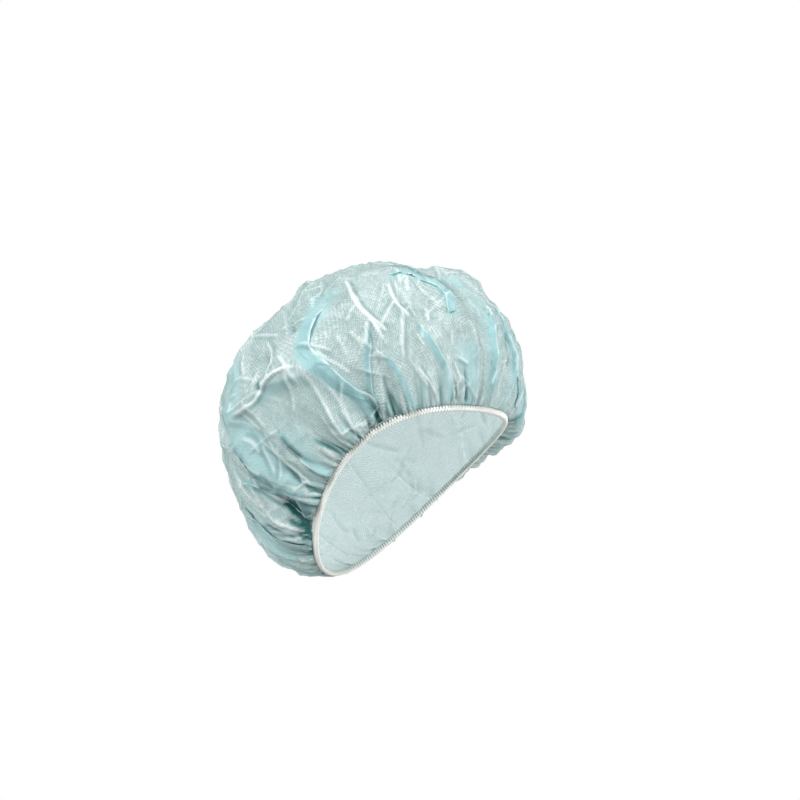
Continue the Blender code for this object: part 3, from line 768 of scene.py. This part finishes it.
class Nodes:
    """A short way to build a material's nodes."""

    def __init__(self, name):
        self.material = bpy.data.materials.new(name)
        self.material.use_nodes = True
        self.tree = self.material.node_tree
        self.shader = self.tree.nodes["Principled BSDF"]
        self.output = self.tree.nodes["Material Output"]

    def add(self, kind, settings=None, **inputs):
        node = self.tree.nodes.new(kind)
        for key, value in (settings or {}).items():
            setattr(node, key, value)
        for key, value in inputs.items():
            self.feed(node, key.replace("_", " "), value)
        return node

    def feed(self, node, key, value):
        socket = node.inputs[int(key)] if key.isdigit() else node.inputs[key]
        if isinstance(value, bpy.types.NodeSocket):
            self.tree.links.new(value, socket)
        else:
            socket.default_value = value

    def math(self, operation, first, second=0.0, third=None, clamp=False):
        node = self.add("ShaderNodeMath", {"operation": operation, "use_clamp": clamp})
        self.feed(node, "0", first)
        self.feed(node, "1", second)
        if third is not None:
            self.feed(node, "2", third)
        return node.outputs[0]

    def mix(self, share, first, second):
        node = self.add("ShaderNodeMix", {"data_type": "RGBA"})
        self.feed(node, "0", share)
        self.feed(node, "6", first)
        self.feed(node, "7", second)
        return node.outputs[2]

    def ramp(self, value, low, high):
        node = self.add("ShaderNodeMapRange", {"clamp": True})
        self.feed(node, "0", value)
        self.feed(node, "1", low)
        self.feed(node, "2", high)
        return node.outputs[0]


AQUA = (0.46, 0.60, 0.595, 1)
# pale end for the real dots and fibres and for the painted facet light
WHITE_AQUA = (0.86, 0.93, 0.92, 1)
LAPPED_AQUA = (0.43, 0.67, 0.69, 1)
# colour of the painted highlights along creases, crests, facet borders and lap rims
HIGHLIGHT_WHITE = (0.95, 1.0, 0.99, 1)
# colour of the painted shade in hollows, pleat valleys and crease flanks
SHADE_AQUA = (0.012, 0.130, 0.124, 1)
SEE_THROUGH = (0.66, 0.77, 0.77, 1)
HEM_AQUA = (0.34, 0.50, 0.48, 1)
HEM_PALE = (0.58, 0.68, 0.64, 1)
THREAD_WHITE = (0.97, 0.97, 0.94, 1)
THREAD_GREY = (0.86, 0.87, 0.83, 1)


def cloth_pattern(n, flat):
    """Embossed dots, cloudy cover and fibres of the non-woven, each 0 to 1."""
    turned = n.add("ShaderNodeVectorRotate", {"rotation_type": "Z_AXIS"}, Angle=np.radians(38))
    n.feed(turned, "Vector", flat)
    parts = n.add("ShaderNodeSeparateXYZ")
    n.feed(parts, "0", turned.outputs[0])
    wave = 2 * np.pi / EMBOSS_SPACING
    across = n.math("SINE", n.math("MULTIPLY", parts.outputs[0], wave))
    along = n.math("SINE", n.math("MULTIPLY", parts.outputs[1], wave))
    dots = n.ramp(n.math("MULTIPLY", across, along), -0.1, 0.55)
    cloud = n.add("ShaderNodeTexNoise", {"noise_dimensions": "2D"}, Scale=95.0, Detail=5.0, Roughness=0.65)
    n.feed(cloud, "Vector", flat)
    clouds = n.ramp(cloud.outputs[0], 0.34, 0.68)
    fibre_amounts = []
    for angle in (20, 75, 130):
        spin = n.add("ShaderNodeMapping", {"vector_type": "TEXTURE"})
        n.feed(spin, "Vector", flat)
        n.feed(spin, "Rotation", (0, 0, np.radians(angle)))
        n.feed(spin, "Scale", (9.0, 1.0, 1.0))
        strand = n.add("ShaderNodeTexNoise", {"noise_dimensions": "2D"},
                       Scale=900.0, Detail=2.0, Roughness=0.6)
        n.feed(strand, "Vector", spin.outputs[0])
        fibre_amounts.append(n.ramp(strand.outputs[0], 0.52, 0.72))
    fibres = n.math("ADD", n.math("ADD", fibre_amounts[0], fibre_amounts[1]), fibre_amounts[2], clamp=True)
    return dots, clouds, fibres


def cloth_material():
    """Spun-bonded non-woven: see-through, cloudy, with embossed dots and fibres, painted highlights along
    creases, painted shade in hollows and valleys, and painted light and shade per facet.
    """
    n = Nodes("aqua_nonwoven")
    uv = n.add("ShaderNodeUVMap", {"uv_map": "flat_cut"}).outputs[0]
    metres = n.add("ShaderNodeVectorMath", {"operation": "SCALE"})
    n.feed(metres, "0", uv)
    n.feed(metres, "Scale", 1 / UV_PER_METRE)
    dots, clouds, fibres = cloth_pattern(n, metres.outputs[0])
    # painted highlight lines along creases, crests, facet borders and lap rims
    crease_highlight = n.add("ShaderNodeAttribute", {"attribute_name": "crease_highlight"}).outputs["Fac"]
    layered = n.add("ShaderNodeAttribute", {"attribute_name": "layered"}).outputs["Fac"]
    # painted shade from hollows, pleat valleys and crease flanks
    painted_shade = n.add("ShaderNodeAttribute", {"attribute_name": "painted_shade"}).outputs["Fac"]
    climb = n.add("ShaderNodeAttribute", {"attribute_name": "climb"}).outputs["Fac"]
    # painted light and shade per facet
    tone = n.add("ShaderNodeAttribute", {"attribute_name": "tone"}).outputs["Fac"]
    gathered = n.ramp(climb, 0.06, 0.0)
    layered = n.ramp(layered, 0.25, 0.72)
    crease_highlight = n.ramp(crease_highlight, 0.34, 0.90)
    threads = n.math("ADD", n.math("MULTIPLY", dots, 0.45), n.math("MULTIPLY", fibres, 0.45), clamp=True)
    bare = n.math("SUBTRACT", 1.0, n.math("MULTIPLY", layered, 0.75))
    threads = n.math("MULTIPLY", threads, bare)
    # paleness: the real dots and fibres, plus the painted light and shade per facet
    fibres_and_facet_light = n.math("ADD", n.math("MULTIPLY", threads, 0.70), n.math("MULTIPLY", tone, 0.40))
    colour = n.mix(fibres_and_facet_light, AQUA, WHITE_AQUA)
    colour = n.mix(layered, colour, LAPPED_AQUA)
    # painted shade: deep aqua in hollows, pleat valleys and crease flanks
    colour = n.mix(n.ramp(painted_shade, 0.06, 0.72), colour, SHADE_AQUA)
    # painted highlight: pale lines along creases, crests, facet borders and lap rims
    colour = n.mix(n.math("MULTIPLY", crease_highlight, 0.85), colour, HIGHLIGHT_WHITE)
    # the painted facet tone, like the painted shade below, also makes the cloth less see-through
    cover = n.math("ADD", n.math("MULTIPLY_ADD", clouds, 0.18, 0.16), n.math("MULTIPLY", tone, 0.30))
    for amount, share in ((threads, 0.34), (crease_highlight, 0.34), (layered, 0.46), (painted_shade, 0.42), (gathered, 0.25)):
        cover = n.math("ADD", cover, n.math("MULTIPLY", amount, share))
    cover = n.math("MINIMUM", cover, 0.97)
    relief = n.math("SUBTRACT", n.math("MULTIPLY", fibres, 0.6), dots)
    bump = n.add("ShaderNodeBump", None, Strength=0.35, Distance=0.0003, Height=relief)
    n.feed(n.shader, "Base Color", colour)
    n.feed(n.shader, "Normal", bump.outputs[0])
    n.shader.inputs["Roughness"].default_value = 0.75
    n.shader.inputs["Specular IOR Level"].default_value = 0.12
    glow = n.add("ShaderNodeBsdfTranslucent")
    n.feed(glow, "Color", colour)
    n.feed(glow, "Normal", bump.outputs[0])
    clear = n.add("ShaderNodeBsdfTransparent")
    clear.inputs["Color"].default_value = SEE_THROUGH
    body = n.add("ShaderNodeMixShader")
    n.feed(body, "0", 0.25)
    n.feed(body, "1", n.shader.outputs[0])
    n.feed(body, "2", glow.outputs[0])
    veil = n.add("ShaderNodeMixShader")
    n.feed(veil, "0", cover)
    n.feed(veil, "1", clear.outputs[0])
    n.feed(veil, "2", body.outputs[0])
    n.tree.links.new(veil.outputs[0], n.output.inputs["Surface"])
    return n.material


def elastic_material():
    """Covered elastic: mottled aqua and pale yarn with a fine noise bump."""
    n = Nodes("cream_elastic")
    place = n.add("ShaderNodeTexCoord").outputs["Object"]
    yarn = n.add("ShaderNodeTexNoise", None, Scale=1400.0, Detail=3.0)
    n.feed(yarn, "Vector", place)
    dirt = n.add("ShaderNodeTexNoise", None, Scale=140.0, Detail=3.0)
    n.feed(dirt, "Vector", place)
    colour = n.mix(n.ramp(dirt.outputs[0], 0.35, 0.7), HEM_AQUA, HEM_PALE)
    colour = n.mix(n.math("MULTIPLY", n.ramp(yarn.outputs[0], 0.5, 0.75), 0.5), colour, THREAD_GREY)
    bump = n.add("ShaderNodeBump", None, Strength=0.5, Distance=0.0002, Height=yarn.outputs[0])
    n.feed(n.shader, "Base Color", colour)
    n.feed(n.shader, "Normal", bump.outputs[0])
    n.shader.inputs["Roughness"].default_value = 0.85
    return n.material


def thread_material():
    """Spun thread with a fine twist."""
    n = Nodes("cream_thread")
    place = n.add("ShaderNodeTexCoord").outputs["Object"]
    twist = n.add("ShaderNodeTexNoise", None, Scale=2600.0, Detail=2.0)
    n.feed(twist, "Vector", place)
    colour = n.mix(n.ramp(twist.outputs[0], 0.4, 0.7), THREAD_GREY, THREAD_WHITE)
    bump = n.add("ShaderNodeBump", None, Strength=0.4, Distance=0.0001, Height=twist.outputs[0])
    n.feed(n.shader, "Base Color", colour)
    n.feed(n.shader, "Normal", bump.outputs[0])
    n.shader.inputs["Roughness"].default_value = 0.7
    return n.material


# --- stage ----------------------------------------------------------------------------
VIEW_AZIMUTH = np.radians(-54.15)
VIEW_ELEVATION = np.radians(-8.0)
VIEW_DISTANCE = 1.6
FRAME_WIDTH = 0.656              # what the view is wide at the origin
AIM_RIGHT, AIM_UP = -0.0085, 0.0632
FLOOR_HEIGHT = -0.45


def make_camera():
    a, e = VIEW_AZIMUTH, VIEW_ELEVATION
    right = Vector((np.cos(a), np.sin(a), 0))
    back = Vector((np.sin(a) * np.cos(e), -np.cos(a) * np.cos(e), np.sin(e)))
    up = back.cross(right)
    eye = back * VIEW_DISTANCE
    target = right * AIM_RIGHT + up * AIM_UP
    camera = bpy.data.objects.new("camera", bpy.data.cameras.new("camera"))
    camera.data.sensor_width = 36
    camera.data.lens = 36 * VIEW_DISTANCE / FRAME_WIDTH
    camera.data.clip_start = 0.05
    camera.location = eye
    camera.rotation_euler = (target - eye).to_track_quat("-Z", "Y").to_euler()
    bpy.context.scene.collection.objects.link(camera)
    bpy.context.scene.camera = camera


def add_light(name, place, size, power, target=(0, 0.02, 0.05)):
    light = bpy.data.objects.new(name, bpy.data.lights.new(name, "AREA"))
    light.data.size = size
    light.data.energy = power
    light.location = place
    light.rotation_euler = (Vector(target) - Vector(place)).to_track_quat("-Z", "Y").to_euler()
    bpy.context.scene.collection.objects.link(light)


def make_stage():
    """A pale floor that melts into a white surround, and soft light."""
    bpy.ops.mesh.primitive_circle_add(vertices=96, radius=5.0, fill_type="NGON",
                                      location=(0, 0, FLOOR_HEIGHT))
    floor = bpy.context.object
    floor.name = "floor"
    n = Nodes("pale_floor")
    place = n.add("ShaderNodeTexCoord").outputs["Object"]
    grain = n.add("ShaderNodeTexNoise", None, Scale=30.0)
    n.feed(grain, "Vector", place)
    tone = n.mix(grain.outputs[0], (0.84, 0.84, 0.84, 1), (0.87, 0.87, 0.87, 1))
    n.feed(n.shader, "Base Color", tone)
    n.shader.inputs["Roughness"].default_value = 0.9
    n.shader.inputs["Emission Color"].default_value = (1, 1, 1, 1)
    n.shader.inputs["Emission Strength"].default_value = 0.50
    floor.data.materials.append(n.material)
    floor.visible_diffuse = False
    bpy.ops.mesh.primitive_uv_sphere_add(segments=48, ring_count=24, radius=6.0)
    backdrop = bpy.context.object
    backdrop.name = "backdrop"
    n = Nodes("white_backdrop")
    white = n.add("ShaderNodeEmission")
    n.tree.links.new(white.outputs[0], n.output.inputs["Surface"])
    backdrop.data.materials.append(n.material)
    backdrop.visible_diffuse = backdrop.visible_glossy = False
    backdrop.visible_transmission = backdrop.visible_shadow = False
    world = bpy.data.worlds.new("studio")
    world.use_nodes = True
    world.node_tree.nodes["Background"].inputs["Color"].default_value = (1, 1, 1, 1)
    world.node_tree.nodes["Background"].inputs["Strength"].default_value = 0.50
    bpy.context.scene.world = world
    add_light("key", (-1.9, -0.2, 1.0), 0.7, 40)
    add_light("fill", (0.1, -2.1, 0.3), 1.2, 34)
    bpy.context.scene.view_settings.view_transform = "Standard"


def main():
    make_camera()
    crown = make_crown()
    crown.data.materials.append(cloth_material())
    elastic = make_elastic()
    elastic.data.materials.append(elastic_material())
    stitches = make_stitches()
    stitches.data.materials.append(thread_material())
    for piece in (crown, elastic, stitches):
        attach(piece, "root")
    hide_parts("crown")
    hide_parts("elastic_band")
    make_stage()


main()
